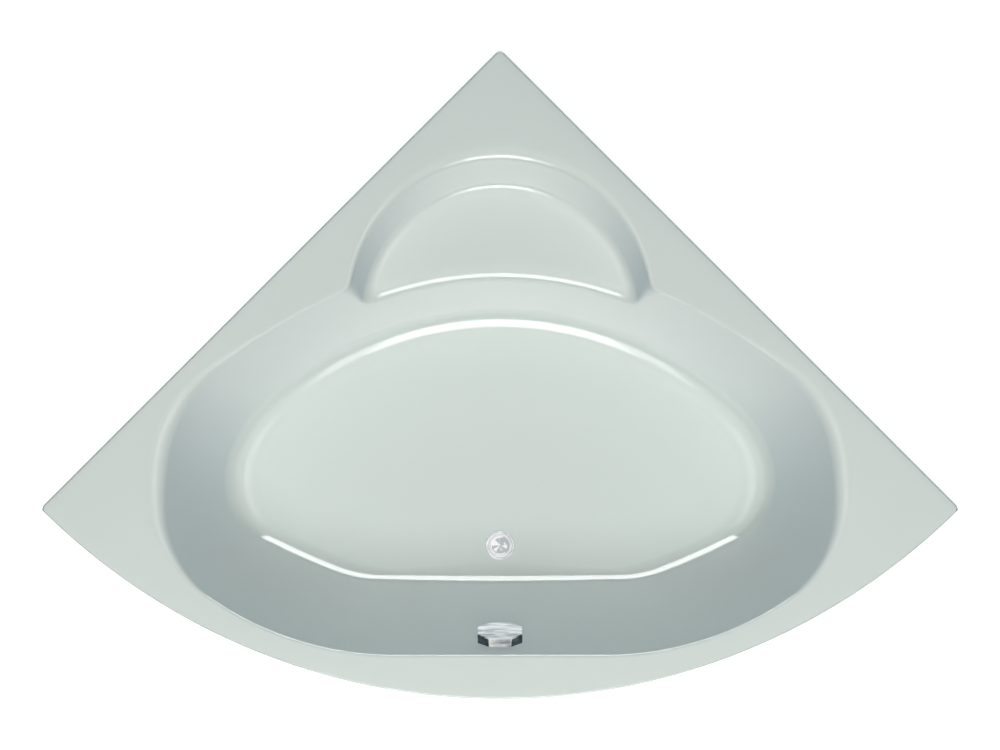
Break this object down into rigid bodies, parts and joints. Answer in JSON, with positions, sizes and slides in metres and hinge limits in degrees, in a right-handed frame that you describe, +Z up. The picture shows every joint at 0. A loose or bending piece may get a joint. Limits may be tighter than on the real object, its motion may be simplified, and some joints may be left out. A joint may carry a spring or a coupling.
{
  "type": "corner bathtub",
  "caption": "Quarter-circle acrylic corner bath with a corner seat on a steel frame, with pop-up waste, overflow knob, trap and a pull-off bowed front panel.",
  "frame": {"origin": "on the floor at the middle of the bath's overall length and width", "axes": "+X to the right as seen from the bowed front, +Y towards the room corner, +Z up"},
  "size_m": [1.9756, 1.3958, 0.6],
  "materials": {
    "acrylic": "high-gloss sanitary acrylic",
    "glass_fibre": "rough glass-fibre resin",
    "chipboard": "raw chipboard",
    "frame_paint": "grey powder coat",
    "zinc": "zinc plated",
    "chrome": "polished chrome",
    "black_rubber": "soft black rubber",
    "dark_plastic": "dark moulded plastic",
    "white_plastic": "white moulded plastic",
    "hose_plastic": "grey flexible hose"
  },
  "bodies": {
    "tub": {"acrylic_shell": "acrylic", "glass_fibre_backing": "glass_fibre", "base_board": "chipboard", "seat_board": "chipboard", "rim_batten_left": "chipboard", "rim_batten_right": "chipboard", "rim_batten_front": "chipboard", "cross_rail": "frame_paint", "rear_rail_left": "frame_paint", "rear_rail_right": "frame_paint", "spine_rail": "frame_paint", "front_arm_left": "frame_paint", "front_arm_right": "frame_paint", "upright_left": "frame_paint", "upright_right": "frame_paint", "upright_corner": "frame_paint", "upright_front_left": "frame_paint", "upright_front_right": "frame_paint", "seat_post": "frame_paint", "foot_nut_plates": "zinc", "rim_pads": "frame_paint", "lock_nuts": "zinc", "board_screws": "zinc", "wall_bracket_left": "zinc", "wall_bracket_right": "zinc", "waste_flange": "chrome", "waste_seal_upper": "black_rubber", "waste_seal_lower": "black_rubber", "waste_body": "dark_plastic", "trap_nut": "white_plastic", "trap_body": "white_plastic", "outlet_nut": "white_plastic", "outlet_pipe": "white_plastic", "overflow_plate": "chrome", "overflow_seal": "black_rubber", "overflow_body": "dark_plastic", "overflow_screws": "zinc", "overflow_hose": "hose_plastic", "hose_nuts": "dark_plastic", "pull_cable": "black_rubber", "panel_magnets": "dark_plastic"},
    "foot_left": {"foot_stud_left": "zinc", "foot_pad_left": "dark_plastic"},
    "foot_right": {"foot_stud_right": "zinc", "foot_pad_right": "dark_plastic"},
    "foot_corner": {"foot_stud_corner": "zinc", "foot_pad_corner": "dark_plastic"},
    "foot_front_left": {"foot_stud_front_left": "zinc", "foot_pad_front_left": "dark_plastic"},
    "foot_front_right": {"foot_stud_front_right": "zinc", "foot_pad_front_right": "dark_plastic"},
    "knob": {"overflow_knob": "chrome", "knob_shaft": "zinc"},
    "plug": {"waste_plug": "chrome", "plug_seal": "black_rubber"},
    "panel": {"front_panel": "acrylic", "panel_blocks": "white_plastic", "strike_plates": "zinc"}
  },
  "joints": [
    {"name": "foot_left_screw", "type": "slide", "parent": "tub", "child": "foot_left", "axis": [0, 0, 1], "range_m": [-0.04, 0]},
    {"name": "foot_right_screw", "type": "slide", "parent": "tub", "child": "foot_right", "axis": [0, 0, 1], "range_m": [-0.04, 0]},
    {"name": "foot_corner_screw", "type": "slide", "parent": "tub", "child": "foot_corner", "axis": [0, 0, 1], "range_m": [-0.04, 0]},
    {"name": "foot_front_left_screw", "type": "slide", "parent": "tub", "child": "foot_front_left", "axis": [0, 0, 1], "range_m": [-0.04, 0]},
    {"name": "foot_front_right_screw", "type": "slide", "parent": "tub", "child": "foot_front_right", "axis": [0, 0, 1], "range_m": [-0.04, 0]},
    {"name": "knob_turn", "type": "hinge", "parent": "tub", "child": "knob", "pos_m": [0, -0.57169, 0.517], "axis": [0, 0.9322, 0.362], "range_deg": [0, 90]},
    {"name": "plug_lift", "type": "slide", "parent": "tub", "child": "plug", "axis": [0, 0, 1], "range_m": [0, 0.008]},
    {"name": "panel_pull", "type": "slide", "parent": "tub", "child": "panel", "axis": [0, -1, 0], "range_m": [0, 0.25]}
  ],
  "couplings": [
    {"joint": "plug_lift", "follows": "knob_turn", "m_per_rad": 0.00509}
  ]
}
